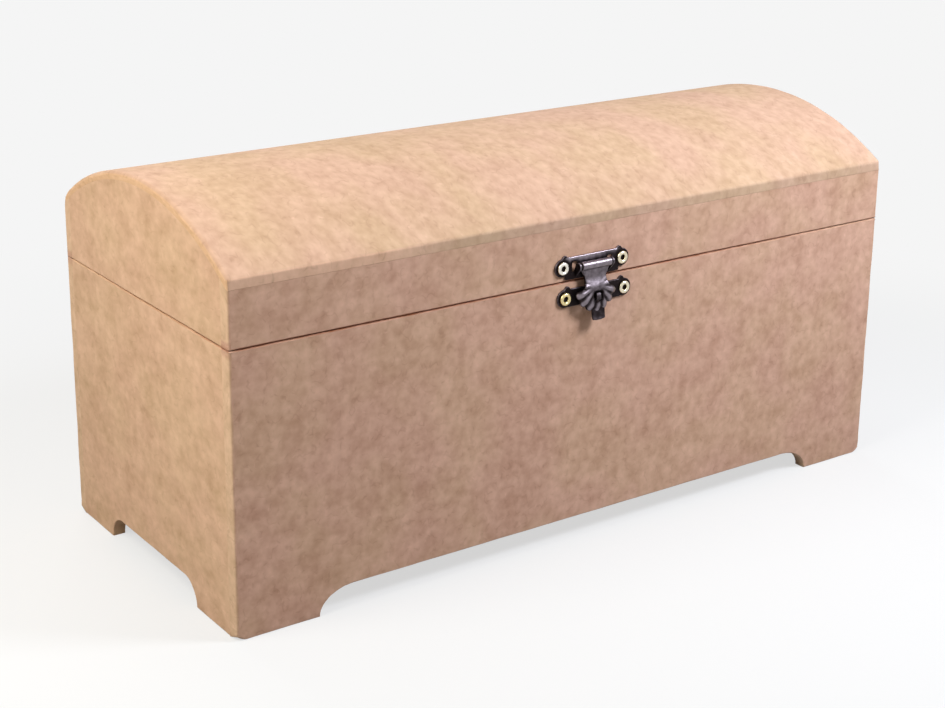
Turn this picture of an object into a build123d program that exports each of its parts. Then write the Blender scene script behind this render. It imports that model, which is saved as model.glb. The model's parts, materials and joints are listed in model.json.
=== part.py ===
"""Treasure chest box in raw MDF: bracket feet, an arched lid, two rear butt hinges and a fan hasp.

Millimetres. X runs along the front, the front faces -Y, Z is up.
The origin is on the floor, under the middle of the box.
"""

import os
from math import cos, radians, sin, sqrt

from build123d import *

os.makedirs("parts", exist_ok=True)

# Box
box_length = 300.0
box_depth = 130.0
seam_height = 104.0  # middle of the gap between base and lid
seam_gap = 0.8
lid_side_height = 23.5  # from the seam to where the arch meets the front face
arch_rise = 20.5  # crown of the arch above that line
wall = 5.0  # MDF of the upright panels
floor_sheet = 3.0
top_sheet = 3.0
glue_line = 0.05  # under the bent sheet
corner_round = 0.9  # sanded upright corners
sheet_bevel = 1.0  # sanded edge of the bent sheet
seam_ease = 0.3  # eased edges on both sides of the seam

# Feet
foot_height = 9.2
front_foot_width = 32.5
end_foot_width = 30.0  # with the edge of the front panel
front_cove_width = 14.0
end_cove_width = 9.0
floor_clearance = 0.8  # floor sheet above the line of the cut-outs

# Eyelet rivets
rivet_head_radius = 2.45
rivet_head_height = 1.0
rivet_hole_radius = 0.95
rivet_shank_radius = 1.35
rivet_tail_radius = 2.1
rivet_tail_height = 0.6
rivet_clearance = 0.1
slope_share = 0.35  # of the ring's width: how far its top stands in

# Hasp, from the front face outwards
hasp_plate_thickness = 0.8
hasp_rivet_spacing = 27.6
hasp_ear_radius = 4.0
hasp_lobe_radius = 1.2
hasp_lobe_reach = 3.4  # lobe centre above the rivet
hasp_lobe_inset = 1.2
hasp_plate_x = -1.0  # nailed a little to the left
hasp_axis_height = 5.6  # pin and upper rivets above the seam
upper_plate_above = 3.7
upper_plate_below = 4.8
upper_plate_half_width = 12.4
window_above = 1.8
window_below = 2.1
window_half_width = 9.4
lug_half_gap = 7.3  # inner faces from the middle of the plate
lug_thickness = 0.8
lug_radius = 1.5
lug_root = 2.0  # foot on the bar under the window

hasp_pin_radius = 0.7
hasp_pin_standoff = 2.4  # axis in front of the face
running_clearance = 0.05

catch_x = 0.4  # nailed a little to the right
catch_drop = 6.2  # catch rivets below the seam
catch_half_height = 3.4
tongue_width = 2.0
tongue_height = 2.2
tongue_reach = 4.9
tongue_nose = 0.3

flap_x = -0.7  # the flap has side play between the lugs
flap_thickness = 0.9
flap_standoff = 1.7  # back of the flap in front of the face
flap_barrel_radius = 1.55
flap_barrel_length = 13.4
neck_half_width = 4.9
neck_drop = 5.2  # narrowest place under the axis
fan_hub_drop = 7.9
fan_reach = 8.2  # hub to lobe centres
fan_lobe_count = 7
fan_lobe_pitch = 23.0  # degrees
fan_lobe_radius = 1.85
fan_lobe_round = 1.4  # from the widest place of a lobe to its end
fan_tip_radius = 0.9
fan_hub_radius = 1.2
fan_ridge_height = 4.2  # ridges in front of the face, at the hub
fan_fall = 0.7  # ridges sink towards the edge
slot_width = 4.2
slot_height = 3.8
tab_width = 7.2
tab_bend_radius = 3.6
tab_bend_angle = 75.0
tab_start_drop = 16.6

# Rear hinges
hinge_spacing = 180.0
hinge_length = 22.0
hinge_leaf_height = 10.5
hinge_leaf_thickness = 0.8
hinge_knuckle_count = 3
hinge_knuckle_radius = 1.6
hinge_knuckle_gap = 0.3
hinge_pin_radius = 0.7
hinge_standoff = 1.9  # pin axis behind the back face
hinge_leaf_gap = 2.0  # leaf edge from the pin axis
hinge_web_gap = 0.4
hinge_nail_spacing = 12.5
hinge_nail_drop = 6.2
hinge_corner_round = 1.5
nail_width = 0.9  # square shank
nail_clearance = 0.05
nail_hole_depth = 4.0
nail_head_radius = 1.5
nail_head_height = 0.7

# Worked out from the sizes above
half_length = box_length / 2
half_depth = box_depth / 2
base_top = seam_height - seam_gap / 2
lid_bottom = seam_height + seam_gap / 2
lid_shoulder = seam_height + lid_side_height
arch_radius = (half_depth**2 + arch_rise**2) / (2 * arch_rise)
arch_centre = lid_shoulder + arch_rise - arch_radius
sheet_inner_radius = arch_radius - top_sheet
board_arch_radius = sheet_inner_radius - glue_line
inner_half_depth = half_depth - wall
rivet_bore_radius = rivet_shank_radius + rivet_clearance
nail_hole_width = nail_width + 2 * nail_clearance
leaf_hole_radius = nail_width / sqrt(2) + nail_clearance

hasp_axis_z = seam_height + hasp_axis_height
catch_z = seam_height - catch_drop
hasp_pin_y = -half_depth - hasp_pin_standoff
hasp_bore_radius = hasp_pin_radius + running_clearance
hinge_pin_y = half_depth + hinge_standoff
hinge_bore_radius = hinge_pin_radius + running_clearance

front_face = Plane.XZ.offset(half_depth)
back_face = Plane.XZ.offset(-half_depth)


def arch_z(y, radius):
    """Height of a circle about the arch's centre, over the line y."""
    return arch_centre + sqrt(radius**2 - y**2)


def pair(x, spacing, z):
    """Two points level with each other."""
    return [(x - spacing / 2, z), (x + spacing / 2, z)]


upper_rivet_points = pair(hasp_plate_x, hasp_rivet_spacing, hasp_axis_z)
catch_rivet_points = pair(catch_x, hasp_rivet_spacing, catch_z)
hinge_places = {"left": -hinge_spacing / 2, "right": hinge_spacing / 2}
base_hinge_points = {
    side: pair(x, hinge_nail_spacing, seam_height - hinge_nail_drop)
    for side, x in hinge_places.items()
}
lid_hinge_points = {
    side: pair(x, hinge_nail_spacing, seam_height + hinge_nail_drop)
    for side, x in hinge_places.items()
}


def save(part, name):
    part.label = name
    export_step(part, f"parts/{name}.step")


# Base

def footed_outline(half_width, foot_width, cove_width):
    """Wall with a foot at each end and an elliptical cove beside each foot."""
    cut_half = half_width - foot_width
    flat_half = cut_half - cove_width
    with BuildLine() as outline:
        Line((0, foot_height), (flat_half, foot_height))
        EllipticalCenterArc(
            (flat_half, 0), cove_width, foot_height, start_angle=0, arc_size=90
        )
        Polyline(
            (cut_half, 0), (half_width, 0), (half_width, base_top), (0, base_top)
        )
        mirror(about=Plane.YZ)
    return outline.edges()


def drill(points, plane, radius, amount):
    """Holes into a wall from its outer face, along the plane's normal or against it."""
    with BuildSketch(plane) as holes:
        with Locations(*points):
            Circle(radius)
    extrude(holes.sketch, amount=amount, mode=Mode.SUBTRACT)


def nail_holes(points):
    """Square holes in the back wall, as the nails cut them."""
    with BuildSketch(back_face) as holes:
        with Locations(*points):
            Rectangle(nail_hole_width, nail_hole_width)
    extrude(holes.sketch, amount=nail_hole_depth, mode=Mode.SUBTRACT)


with BuildPart() as base_front_panel:
    with BuildSketch(front_face):
        make_face(footed_outline(half_length, front_foot_width, front_cove_width))
    extrude(amount=-wall)
    fillet(edges().filter_by(Axis.Z).group_by(Axis.Y)[0], corner_round)
    chamfer(edges().filter_by(Axis.X).group_by(Axis.Z)[-1].sort_by(Axis.Y)[0], seam_ease)
    drill(catch_rivet_points, front_face, rivet_bore_radius, -wall)
save(base_front_panel.part, "base_front_panel")

with BuildPart() as base_back_panel:
    with BuildSketch(back_face):
        make_face(footed_outline(half_length, front_foot_width, front_cove_width))
    extrude(amount=wall)
    fillet(edges().filter_by(Axis.Z).group_by(Axis.Y)[-1], corner_round)
    chamfer(edges().filter_by(Axis.X).group_by(Axis.Z)[-1].sort_by(Axis.Y)[-1], seam_ease)
    for points in base_hinge_points.values():
        nail_holes(points)
save(base_back_panel.part, "base_back_panel")


def base_end(outer_x, inward, name):
    with BuildPart() as panel:
        with BuildSketch(Plane.YZ.offset(outer_x)):
            make_face(footed_outline(inner_half_depth, end_foot_width - wall, end_cove_width))
        extrude(amount=inward * wall)
        top_edges = edges().filter_by(Axis.Y).group_by(Axis.Z)[-1]
        chamfer(top_edges.sort_by(Axis.X)[0 if inward > 0 else -1], seam_ease)
    save(panel.part, name)


base_end(-half_length, 1, "base_left_end")
base_end(half_length, -1, "base_right_end")

with BuildPart() as base_floor_panel:
    with BuildSketch(Plane.XY.offset(foot_height + floor_clearance)):
        Rectangle(box_length - 2 * wall, box_depth - 2 * wall)
    extrude(amount=floor_sheet)
save(base_floor_panel.part, "base_floor_panel")


# Lid

def lid_strip(outer_y, name):
    """Low wall of the lid, its top cut to the arch."""
    inward = 1 if outer_y < 0 else -1
    inner_y = outer_y + inward * wall
    middle_y = (outer_y + inner_y) / 2
    with BuildPart() as strip:
        with BuildSketch(Plane.YZ.offset(-half_length)):
            with BuildLine():
                Polyline(
                    (outer_y, arch_z(outer_y, board_arch_radius)),
                    (outer_y, lid_bottom),
                    (inner_y, lid_bottom),
                    (inner_y, arch_z(inner_y, board_arch_radius)),
                )
                ThreePointArc(
                    (inner_y, arch_z(inner_y, board_arch_radius)),
                    (middle_y, arch_z(middle_y, board_arch_radius)),
                    (outer_y, arch_z(outer_y, board_arch_radius)),
                )
            make_face()
        extrude(amount=box_length)
        outermost = 0 if inward > 0 else -1
        fillet(edges().filter_by(Axis.Z).group_by(Axis.Y)[outermost], corner_round)
        bottom_edges = edges().filter_by(Axis.X).group_by(Axis.Z)[0]
        chamfer(bottom_edges.sort_by(Axis.Y)[outermost], seam_ease)
        if inward > 0:
            drill(upper_rivet_points, front_face, rivet_bore_radius, -wall)
        else:
            for points in lid_hinge_points.values():
                nail_holes(points)
    save(strip.part, name)


lid_strip(-half_depth, "lid_front_panel")
lid_strip(half_depth, "lid_back_panel")


def lid_end(outer_x, inward, name):
    with BuildPart() as board:
        with BuildSketch(Plane.YZ.offset(outer_x)):
            side_z = arch_z(inner_half_depth, board_arch_radius)
            with BuildLine():
                Polyline(
                    (-inner_half_depth, side_z),
                    (-inner_half_depth, lid_bottom),
                    (inner_half_depth, lid_bottom),
                    (inner_half_depth, side_z),
                )
                ThreePointArc(
                    (inner_half_depth, side_z),
                    (0, arch_z(0, board_arch_radius)),
                    (-inner_half_depth, side_z),
                )
            make_face()
        extrude(amount=inward * wall)
        bottom_edges = edges().filter_by(Axis.Y).group_by(Axis.Z)[0]
        chamfer(bottom_edges.sort_by(Axis.X)[0 if inward > 0 else -1], seam_ease)
    save(board.part, name)


lid_end(-half_length, 1, "lid_left_end")
lid_end(half_length, -1, "lid_right_end")

with BuildPart() as lid_top_sheet:
    with BuildSketch(Plane.YZ.offset(-half_length)):
        with BuildLine():
            outer_arc = ThreePointArc(
                (-half_depth, lid_shoulder),
                (0, arch_z(0, arch_radius)),
                (half_depth, lid_shoulder),
            )
            inner_arc = ThreePointArc(
                (-half_depth, arch_z(half_depth, sheet_inner_radius)),
                (0, arch_z(0, sheet_inner_radius)),
                (half_depth, arch_z(half_depth, sheet_inner_radius)),
            )
            Line(outer_arc @ 0, inner_arc @ 0)
            Line(outer_arc @ 1, inner_arc @ 1)
        make_face()
    extrude(amount=box_length)
    crown_face = faces().filter_by(GeomType.CYLINDER).sort_by(SortBy.AREA)[-1]
    chamfer(crown_face.edges(), sheet_bevel)
save(lid_top_sheet.part, "lid_top_sheet")


# Rivets and nails

def eyelet_rivets(points, name):
    """Hollow rivets through a plate and the front wall, with a ring head and a flared tail."""
    head_top = hasp_plate_thickness + rivet_head_height
    slope = slope_share * (rivet_head_radius - rivet_hole_radius)
    profile = (
        (rivet_hole_radius, -wall - rivet_tail_height),
        (rivet_tail_radius, -wall - rivet_tail_height),
        (rivet_tail_radius, -wall),
        (rivet_shank_radius, -wall),
        (rivet_shank_radius, hasp_plate_thickness),
        (rivet_head_radius, hasp_plate_thickness),
        (rivet_head_radius - slope, head_top),
        (rivet_hole_radius, head_top),
    )
    with BuildPart() as rivets:
        for x, z in points:
            seat = Plane(origin=(x, -half_depth, z), x_dir=(1, 0, 0), z_dir=(0, 0, -1))
            with BuildSketch(seat) as section:
                with BuildLine():
                    Polyline(*profile, close=True)
                make_face()
            revolve(section.sketch, axis=Axis((x, -half_depth, z), (0, -1, 0)))
    save(rivets.part, name)


def hinge_nails(points, name):
    """Short nails with a square shank and a low conical head, through a leaf into the back wall."""
    reach = hinge_leaf_thickness + nail_hole_depth - running_clearance
    with BuildPart() as nails:
        for x, z in points:
            seat = Plane(
                origin=(x, half_depth + hinge_leaf_thickness, z), x_dir=(1, 0, 0), z_dir=(0, 1, 0)
            )
            with BuildSketch(seat) as shank:
                Rectangle(nail_width, nail_width)
            extrude(shank.sketch, amount=-reach)
            with Locations(seat):
                Cone(
                    nail_head_radius, 0, nail_head_height,
                    align=(Align.CENTER, Align.CENTER, Align.MIN),
                )
    save(nails.part, name)


eyelet_rivets(upper_rivet_points, "hasp_upper_rivets")
eyelet_rivets(catch_rivet_points, "catch_rivets")
for side in hinge_places:
    hinge_nails(base_hinge_points[side], f"hinge_{side}_base_nails")
    hinge_nails(lid_hinge_points[side], f"hinge_{side}_lid_nails")


# Hasp

def eared_profile(half_width, above, below):
    """Stamped plate: a bar, and at each end an ear with a lobe above it."""
    ear_x = hasp_rivet_spacing / 2
    lobe_x = ear_x - hasp_lobe_inset
    with Locations((0, (above - below) / 2)):
        Rectangle(2 * half_width, above + below)
    with Locations((-ear_x, 0), (ear_x, 0)):
        Circle(hasp_ear_radius)
    with Locations((-lobe_x, hasp_lobe_reach), (lobe_x, hasp_lobe_reach)):
        Circle(hasp_lobe_radius)
    with Locations((-ear_x, 0), (ear_x, 0)):
        Circle(rivet_bore_radius, mode=Mode.SUBTRACT)


def rod_along_x(start_x, length, y, z, radius, mode=Mode.ADD):
    """Round bar along X, or a bore of that size."""
    with BuildSketch(Plane(origin=(start_x, y, z), x_dir=(0, 1, 0), z_dir=(1, 0, 0))) as end:
        Circle(radius)
    extrude(end.sketch, amount=length, mode=mode)


def hasp_plane(x, z):
    """Front face about a point of the hasp, with its normal outwards."""
    return Plane(origin=(x, -half_depth, z), x_dir=(1, 0, 0), z_dir=(0, -1, 0))


upper_plane = hasp_plane(hasp_plate_x, hasp_axis_z)
pin_length = 2 * (lug_half_gap + lug_thickness)
pin_start_x = hasp_plate_x - pin_length / 2

with BuildPart() as hasp_upper_plate:
    with BuildSketch(upper_plane):
        eared_profile(upper_plate_half_width, upper_plate_above, upper_plate_below)
        with Locations((0, (window_above - window_below) / 2)):
            Rectangle(2 * window_half_width, window_above + window_below, mode=Mode.SUBTRACT)
    extrude(amount=hasp_plate_thickness)
    for lug_x in (-lug_half_gap - lug_thickness, lug_half_gap):
        with BuildSketch(Plane.YZ.offset(hasp_plate_x + lug_x)):
            with Locations((hasp_pin_y, hasp_axis_z)):
                Circle(lug_radius)
            foot_y = -half_depth - hasp_plate_thickness / 2
            with Locations((foot_y, hasp_axis_z - window_below - lug_root / 2)):
                Rectangle(hasp_plate_thickness, lug_root)
            make_hull()
        extrude(amount=lug_thickness)
    rod_along_x(
        pin_start_x, pin_length, hasp_pin_y, hasp_axis_z, hasp_bore_radius, Mode.SUBTRACT
    )
save(hasp_upper_plate.part, "hasp_upper_plate")

with BuildPart() as hasp_pin:
    rod_along_x(pin_start_x, pin_length, hasp_pin_y, hasp_axis_z, hasp_pin_radius)
save(hasp_pin.part, "hasp_pin")

catch_plane = hasp_plane(catch_x, catch_z)

with BuildPart() as hasp_catch_plate:
    with BuildSketch(catch_plane):
        eared_profile(upper_plate_half_width, catch_half_height, catch_half_height)
    extrude(amount=hasp_plate_thickness)
    with BuildSketch(Plane.YZ.offset(flap_x - tongue_width / 2)):
        with BuildLine():
            Polyline(
                (-half_depth, catch_z + tongue_height / 2),
                (-half_depth - tongue_reach + tongue_nose, catch_z + tongue_height / 2),
                (-half_depth - tongue_reach, catch_z),
                (-half_depth - tongue_reach, catch_z - tongue_height / 2 - tongue_nose),
                (-half_depth - tongue_reach + tongue_nose, catch_z - tongue_height / 2 - tongue_nose),
                (-half_depth - tongue_reach + 2 * tongue_nose, catch_z - tongue_height / 2),
                (-half_depth, catch_z - tongue_height / 2),
                close=True,
            )
        make_face()
    extrude(amount=tongue_width)
save(hasp_catch_plate.part, "hasp_catch_plate")

flap_plane = hasp_plane(flap_x, hasp_axis_z)
flap_hub_z = hasp_axis_z - fan_hub_drop
fan_angles = [
    (i - (fan_lobe_count - 1) / 2) * fan_lobe_pitch for i in range(fan_lobe_count)
]


def fan_point(angle, reach, height):
    """Point of the fan at an angle from straight down, in front of the face."""
    x = flap_x + reach * sin(radians(angle))
    z = flap_hub_z - reach * cos(radians(angle))
    return Vector(x, -half_depth - height, z)


with BuildPart() as hasp_flap:
    for angle in fan_angles:
        inner = fan_point(angle, 0, fan_ridge_height - fan_hub_radius)
        outer = fan_point(angle, fan_reach, fan_ridge_height - fan_fall - fan_lobe_radius)
        rib = Plane(origin=inner, z_dir=outer - inner)
        lobe_start = (outer - inner).length
        for start, end, start_radius, end_radius in (
            (0, lobe_start, fan_hub_radius, fan_lobe_radius),
            (lobe_start, lobe_start + fan_lobe_round, fan_lobe_radius, fan_tip_radius),
        ):
            with BuildSketch(rib.offset(start)):
                Circle(start_radius)
            with BuildSketch(rib.offset(end)):
                Circle(end_radius)
            loft()
    split(bisect_by=flap_plane.offset(flap_standoff), keep=Keep.TOP)
    with BuildSketch(flap_plane.offset(flap_standoff)):
        with BuildLine():
            neck_top = (flap_barrel_length / 2, 0)
            neck_waist = (neck_half_width, -neck_drop)
            neck_foot = (neck_half_width + flap_thickness, -fan_hub_drop - flap_thickness)
            Line((0, 0), neck_top)
            ThreePointArc(neck_top, neck_waist, neck_foot)
            Line(neck_foot, (0, neck_foot[1]))
            mirror(about=Plane.YZ)
        make_face()
    extrude(amount=flap_thickness)
    barrel_x = flap_x - flap_barrel_length / 2
    barrel = (barrel_x, flap_barrel_length, hasp_pin_y, hasp_axis_z)
    rod_along_x(*barrel, flap_barrel_radius)
    rod_along_x(*barrel, hasp_bore_radius, Mode.SUBTRACT)
    tab_y = -half_depth - flap_standoff - flap_thickness - tab_bend_radius
    tab_z = hasp_axis_z - tab_start_drop
    with BuildSketch(Plane.YZ.offset(flap_x - tab_width / 2)):
        with BuildLine():
            bend_in = CenterArc((tab_y, tab_z), tab_bend_radius, 0, -tab_bend_angle)
            bend_out = CenterArc(
                (tab_y, tab_z), tab_bend_radius + flap_thickness, 0, -tab_bend_angle
            )
            Line(bend_in @ 0, bend_out @ 0)
            Line(bend_in @ 1, bend_out @ 1)
        make_face()
    extrude(amount=tab_width)
    with BuildSketch(hasp_plane(flap_x, catch_z)):
        Rectangle(slot_width, slot_height)
    extrude(amount=fan_ridge_height + flap_thickness, mode=Mode.SUBTRACT)
save(hasp_flap.part, "hasp_flap")


# Rear hinges

def hinge_leaf(centre_x, up, name):
    """Leaf with every second knuckle; up is 1 for the lid leaf and -1 for the base leaf."""
    step = hinge_length / hinge_knuckle_count
    start = 0 if up < 0 else 1
    leaf_plane = Plane(
        origin=(centre_x, half_depth, seam_height), x_dir=(-1, 0, 0), z_dir=(0, 1, 0)
    )
    with BuildPart() as leaf:
        with BuildSketch(leaf_plane):
            with Locations((0, up * (hinge_leaf_gap + hinge_leaf_height) / 2)):
                plate = Rectangle(hinge_length, hinge_leaf_height - hinge_leaf_gap)
            far_corners = vertices().group_by(Axis.Y)[-1 if up > 0 else 0]
            fillet(far_corners, hinge_corner_round)
            with Locations(*pair(0, hinge_nail_spacing, up * hinge_nail_drop)):
                Circle(leaf_hole_radius, mode=Mode.SUBTRACT)
        extrude(amount=hinge_leaf_thickness)
        for i in range(start, hinge_knuckle_count, 2):
            knuckle_x = centre_x - hinge_length / 2 + i * step + hinge_knuckle_gap / 2
            width = step - hinge_knuckle_gap
            web_x = centre_x - knuckle_x - width / 2
            with BuildSketch(leaf_plane):
                with Locations((web_x, up * (hinge_web_gap + hinge_leaf_gap) / 2)):
                    Rectangle(width, hinge_leaf_gap - hinge_web_gap)
            extrude(amount=hinge_leaf_thickness)
            rod_along_x(knuckle_x, width, hinge_pin_y, seam_height, hinge_knuckle_radius)
            rod_along_x(
                knuckle_x, width, hinge_pin_y, seam_height, hinge_bore_radius, Mode.SUBTRACT
            )
    save(leaf.part, name)


for side, x in hinge_places.items():
    hinge_leaf(x, -1, f"hinge_{side}_base_leaf")
    hinge_leaf(x, 1, f"hinge_{side}_lid_leaf")
    with BuildPart() as hinge_pin:
        rod_along_x(
            x - hinge_length / 2, hinge_length, hinge_pin_y, seam_height, hinge_pin_radius
        )
    save(hinge_pin.part, f"hinge_{side}_pin")
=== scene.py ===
import json
from math import pi, radians

import bmesh
import bpy
import numpy as np
from mathutils import Matrix, Vector
from mathutils.geometry import convex_hull_2d, delaunay_2d_cdt


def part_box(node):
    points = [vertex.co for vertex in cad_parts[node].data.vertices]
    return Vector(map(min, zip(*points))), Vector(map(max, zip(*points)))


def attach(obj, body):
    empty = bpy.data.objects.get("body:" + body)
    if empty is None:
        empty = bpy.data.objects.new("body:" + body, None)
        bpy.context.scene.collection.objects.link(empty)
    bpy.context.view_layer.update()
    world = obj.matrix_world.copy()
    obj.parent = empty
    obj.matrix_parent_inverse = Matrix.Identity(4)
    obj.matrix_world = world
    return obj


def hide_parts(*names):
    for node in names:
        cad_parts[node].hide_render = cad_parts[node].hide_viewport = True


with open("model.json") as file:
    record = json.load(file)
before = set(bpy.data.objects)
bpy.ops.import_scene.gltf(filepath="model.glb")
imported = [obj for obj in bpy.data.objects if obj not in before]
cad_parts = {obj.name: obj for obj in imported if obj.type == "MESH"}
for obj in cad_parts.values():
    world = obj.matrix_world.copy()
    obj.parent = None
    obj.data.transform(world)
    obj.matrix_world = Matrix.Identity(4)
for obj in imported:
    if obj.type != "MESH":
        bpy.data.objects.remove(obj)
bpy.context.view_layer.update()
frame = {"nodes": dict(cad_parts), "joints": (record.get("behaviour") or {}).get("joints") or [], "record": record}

mm = 0.001  # every size below is in millimetres
record = frame["record"]
bodyOf = {node: body for body, nodes in record["behaviour"]["bodies"].items() for node in nodes}
jointAt = {joint["name"]: np.array(joint["pos_m"]) / mm for joint in frame["joints"]}
print("frame loaded:", len(frame["nodes"]), "nodes")


def nodeBox(node):
    # lowest and highest corner of a node, in millimetres
    return tuple(np.array(corner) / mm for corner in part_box(node))


# Shapes

def asPoints(*coordinates):
    return np.stack(coordinates, 1)


def smoothStep(x, start, end):
    # 0 before start, 1 after end, and an even S between them
    t = np.clip((x - start) / (end - start), 0, 1)
    return t * t * (3 - 2 * t)


def wander(s, seed, pitch):
    # slow wavering, mostly from -1 to 1: four sines, each faster and weaker than the last, with seeded phases
    phases = np.random.default_rng(seed).uniform(0, 2 * pi, 4)
    return sum(np.sin(s * 2 * pi / pitch * 1.7**k + phases[k]) / (k + 1.6) for k in range(4))


def alongPath(points):
    # the length walked from the first point to each
    return np.cumsum(np.linalg.norm(np.diff(points, axis=0, prepend=points[:1]), axis=1))


def refine(loop, step):
    # a closed outline with points added evenly along every side that is longer than the step, and close to
    # the corners, so that the shading stays flat up to them
    near = 0.3  # how close to a corner
    side = np.roll(loop, -1, 0) - loop
    length = np.linalg.norm(side, axis=1)[:, None]
    share = np.minimum(near / length, 0.5)
    points = asPoints(loop, loop + side * share, loop + side * (1 - share))
    loop = points[np.concatenate([length > 0, length > 4 * near, length > 4 * near], 1)]
    ahead = np.roll(loop, -1, 0)
    counts = np.maximum(np.ceil(np.linalg.norm(ahead - loop, axis=1) / step), 1).astype(int)
    side = np.repeat(np.arange(len(loop)), counts)
    share = (np.arange(counts.sum()) - np.repeat(np.cumsum(counts) - counts, counts)) / counts[side]
    return loop[side] + (ahead - loop)[side] * share[:, None]


def evenLoop(loop, step):
    # a closed outline walked at an even pace: points at equal distances along its length
    closed = np.concatenate([loop, loop[:1]])
    along = alongPath(closed)
    wanted = np.linspace(0, along[-1], int(along[-1] / step) + 1)[:-1]
    return asPoints(*(np.interp(wanted, along, closed[:, i]) for i in range(2)))


def softLoop(loop, passes):
    # corners eased as a stamping tool leaves them: each point moves to the mean of its neighbours and itself
    for _ in range(passes):
        loop = (np.roll(loop, 1, 0) + 2 * loop + np.roll(loop, -1, 0)) / 4
    return loop


def roundedCorners(corners, radii):
    # an outline whose corners are arcs: each arc's centre lies on the corner's bisector
    points = []
    for i, radius in enumerate(radii):
        corner = np.array(corners[i], float)
        toBack = np.array(corners[i - 1], float) - corner
        toNext = np.array(corners[(i + 1) % len(corners)], float) - corner
        toBack /= np.linalg.norm(toBack)
        toNext /= np.linalg.norm(toNext)
        half = np.arccos(np.clip(toBack @ toNext, -1, 1)) / 2
        if radius == 0:
            points.append(corner[None])
            continue
        bisector = (toBack + toNext) / np.linalg.norm(toBack + toNext)
        t = np.linspace(-1, 1, 7)[:, None] * (pi / 2 - half)
        across = toNext - (toNext @ bisector) * bisector
        across /= np.linalg.norm(across)
        centre = corner + bisector * radius / np.sin(half)
        points.append(centre + radius * (np.sin(t) * across - np.cos(t) * bisector))
    return np.concatenate(points)


def outwardNormals(loop):
    # the normals of the two sides that meet at each point, added so that an offset outline keeps its distance
    ahead = np.roll(loop, -1, 0) - loop
    ahead /= np.linalg.norm(ahead, axis=1)[:, None]
    back = np.roll(ahead, 1, 0)
    first = asPoints(back[:, 1], -back[:, 0])
    second = asPoints(ahead[:, 1], -ahead[:, 0])
    return (first + second) / np.maximum(1 + (first * second).sum(1), 0.3)[:, None]


def gridPart(points, uv, mark):
    # quads over rows and columns of points; the mark, from -1 to 1, steers the material
    rows, columns = points.shape[:2]
    first = (np.arange(rows - 1)[:, None] * columns + np.arange(columns - 1)).ravel()
    faces = asPoints(first, first + 1, first + columns + 1, first + columns)
    mark = np.broadcast_to(mark, (rows, columns))
    return {"points": points.reshape(-1, 3), "faces": faces, "uv": uv.reshape(-1, 2), "mark": mark.ravel()}


def insideLoops(points, loops):
    # even-odd rule: a point is in the material if a ray from it crosses the outlines an odd number of times
    inside = np.zeros(len(points), bool)
    x, y = points[:, :1], points[:, 1:]
    for loop in loops:
        start, end = loop, np.roll(loop, -1, 0)
        crosses = (start[:, 1] > y) != (end[:, 1] > y)
        rise = np.where(end[:, 1] == start[:, 1], 1, end[:, 1] - start[:, 1])
        at = start[:, 0] + (y - start[:, 1]) * (end[:, 0] - start[:, 0]) / rise
        inside ^= (crosses & (x < at)).sum(1) % 2 == 1
    return inside


def capPart(loops, depth, place, uvShift, mark):
    # a flat face filled between its outlines with Delaunay triangles
    points = np.concatenate(loops)
    starts = np.cumsum([0] + [len(loop) for loop in loops])
    edges = []
    for start, loop in zip(starts, loops):
        ring = start + np.arange(len(loop))
        edges += asPoints(ring, np.roll(ring, -1)).tolist()
    made = delaunay_2d_cdt([Vector(p) for p in points.tolist()], edges, [], 1, 1e-7)
    flat = np.array([tuple(v) for v in made[0]])
    faces = np.array([face for face in made[2] if len(face) == 3])
    faces = faces[insideLoops(flat[faces].mean(1), loops)]
    solid = place(flat[:, 0], flat[:, 1], np.full(len(flat), float(depth)))
    return {"points": solid, "faces": faces, "uv": flat + uvShift, "mark": np.full(len(flat), mark)}


def plateParts(loops, thickness, place, frontRound, backRound, rimMark=1.0, capMark=0.0, uvShift=(0, 0),
               spans=1, upShare=1.0):
    # A flat piece cut to an outline. Its rim is a rounded profile carried along each outline: inwards by
    # r(1 - sin a) and down by r(1 - cos a) as a goes from 0 to a quarter turn, then straight, in one span or
    # more, then round again. Along b the step inwards is taken times upShare.
    turn = np.linspace(0, pi / 2, 5)[:, None]
    between = np.arange(1, spans)[:, None] / spans
    parts, frontLoops, backLoops = [], [], []
    for loop in loops:
        normals = outwardNormals(loop)
        front, back, edgeMark, share = (np.broadcast_to(value(loop) if callable(value) else value, len(loop))
                                        for value in (frontRound, backRound, rimMark, upShare))
        straight = front + (thickness - back - front) * between
        inset = np.concatenate([front * (1 - np.sin(turn)), 0 * straight, back * (1 - np.sin(turn[::-1]))])
        depth = np.concatenate([front * (1 - np.cos(turn)), straight,
                                thickness - back * (1 - np.cos(turn[::-1]))])
        blend = np.concatenate([np.sin(turn), np.ones_like(between), np.sin(turn[::-1])])
        a = loop[:, 0] - normals[:, 0] * inset
        b = loop[:, 1] - normals[:, 1] * inset * share
        length = alongPath(np.concatenate([loop, loop[:1]]))
        wrap = [np.concatenate([grid, grid[:, :1]], 1) for grid in (a, b, depth)]
        points = np.stack(place(*[grid.ravel() for grid in wrap]).T, 1).reshape(len(inset), -1, 3)
        along = np.broadcast_to(length, wrap[2].shape)
        mark = capMark + (np.append(edgeMark, edgeMark[0]) - capMark) * blend
        parts.append(gridPart(points, np.stack([along, wrap[2]], -1) + np.array(uvShift), mark))
        frontLoops.append(asPoints(a[0], b[0]))
        backLoops.append(asPoints(a[-1], b[-1]))
    parts.append(capPart(frontLoops, 0, place, np.array(uvShift), capMark))
    parts.append(capPart(backLoops, thickness, place, -np.array(uvShift), capMark))
    return parts


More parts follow.
